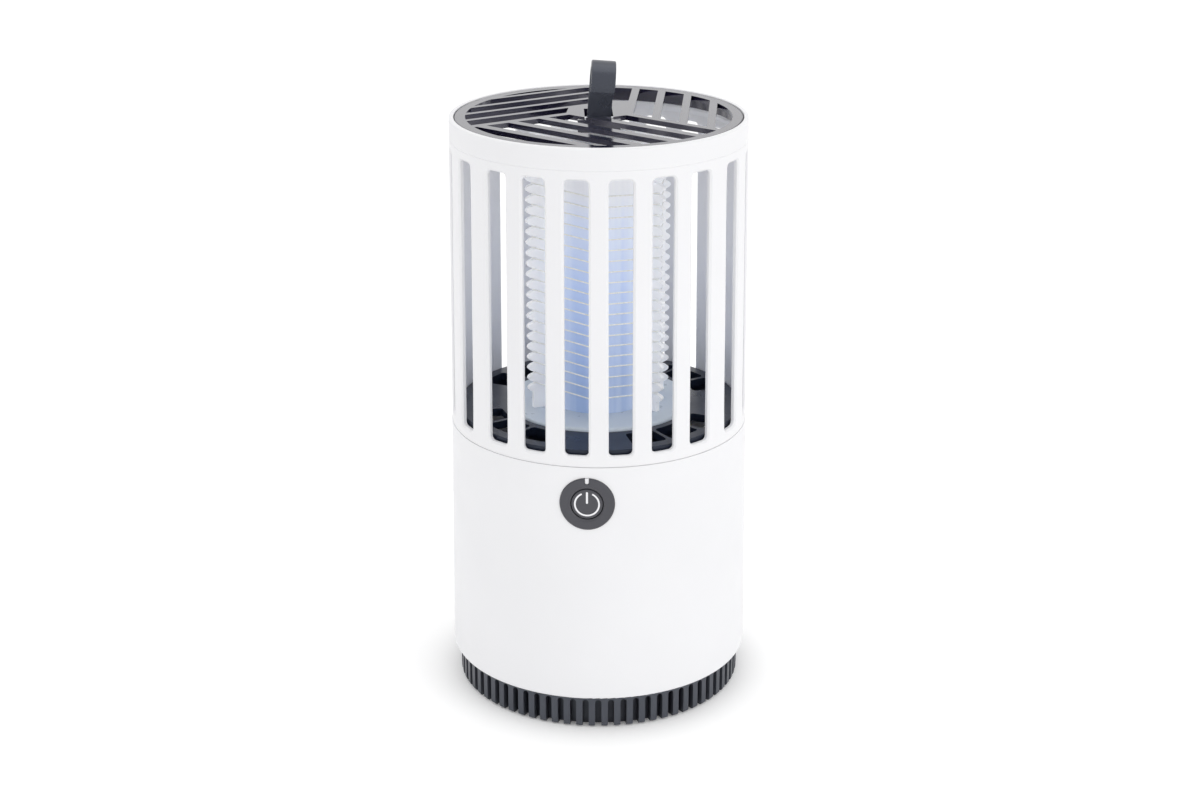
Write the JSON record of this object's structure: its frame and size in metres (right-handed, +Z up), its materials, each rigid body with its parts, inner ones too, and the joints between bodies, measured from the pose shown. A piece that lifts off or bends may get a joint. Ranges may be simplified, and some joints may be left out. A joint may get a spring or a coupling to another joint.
{
  "type": "electric bug zapper",
  "caption": "Round slotted cage over a wire-wound killing grid and light tube, on a white housing with a power button, a folding hook and a ribbed twist-off tray.",
  "frame": {"origin": "middle of the round body on the table plane, under the rubber feet", "axes": "+Z up along the body; the power button faces -Y and the charging port +Y; +X to the right when facing the button"},
  "size_m": [0.108, 0.108, 0.2294],
  "materials": {
    "shell_white": "satin white ABS",
    "grille_dark": "gloss black ABS",
    "deck_dark": "gloss dark ABS",
    "hook_dark": "satin dark grey plastic",
    "base_dark": "satin dark grey ABS",
    "button_dark": "satin dark grey",
    "symbol_white": "white",
    "frosted_clear": "frosted translucent polycarbonate",
    "blue_diffuser": "blue tinted frosted tube",
    "grid_wire": "drawn steel",
    "steel": "zinc plated",
    "board_green": "solder mask",
    "board_white": "white solder mask",
    "led_lens": "clear lens over phosphor",
    "component_black": "moulded epoxy",
    "film_yellow": "taped film",
    "capacitor_sleeve": "heat-shrink sleeve",
    "battery_wrap": "heat-shrink wrap",
    "case_white": "moulded ABS",
    "rubber_black": "matt rubber"
  },
  "bodies": {
    "housing": {"lower_housing": "shell_white", "cage": "shell_white", "top_grille": "grille_dark", "hook_pin": "steel", "drop_ring": "deck_dark", "tower_disc": "frosted_clear", "comb_posts": "frosted_clear", "tower_cap": "frosted_clear", "hv_wire_a": "grid_wire", "hv_wire_b": "grid_wire", "diffuser_tube": "blue_diffuser", "led_board": "board_white", "led_chips": "led_lens", "button_bezel": "button_dark", "indicator_light_pipe": "symbol_white", "tact_switch": "component_black", "switch_board": "board_green", "indicator_led": "led_lens", "electronics_case": "case_white", "case_screws": "steel", "main_board": "board_green", "hv_transformer": "film_yellow", "film_capacitors": "film_yellow", "bulk_capacitor": "capacitor_sleeve", "board_chips": "component_black", "battery_cell": "battery_wrap", "usb_board": "board_green", "usb_port": "steel"},
    "hook": {"hanging_hook": "hook_dark"},
    "button": {"power_button": "button_dark", "power_symbol": "symbol_white", "switch_plunger": "component_black"},
    "lock_ring": {"base_lock_ring": "base_dark"},
    "tray": {"catch_tray": "base_dark", "rubber_feet": "rubber_black"}
  },
  "joints": [
    {"name": "hook_fold", "type": "hinge", "parent": "housing", "child": "hook", "pos_m": [0.00014, -0.00129, 0.2077], "axis": [-0.9945, -0.1045, 0], "range_deg": [0, 70]},
    {"name": "power_press", "type": "slide", "parent": "housing", "child": "button", "axis": [0, 1, 0], "range_m": [0, 0.0008], "stiffness_N_per_m": 1200, "springref_m": -0.0005},
    {"name": "base_twist", "type": "hinge", "parent": "lock_ring", "child": "housing", "pos_m": [0, 0, 0.0182], "axis": [0, 0, 1], "range_deg": [0, 30]},
    {"name": "tray_release", "type": "slide", "parent": "tray", "child": "lock_ring", "axis": [0, 0, 1], "range_m": [0, 0.04]}
  ]
}
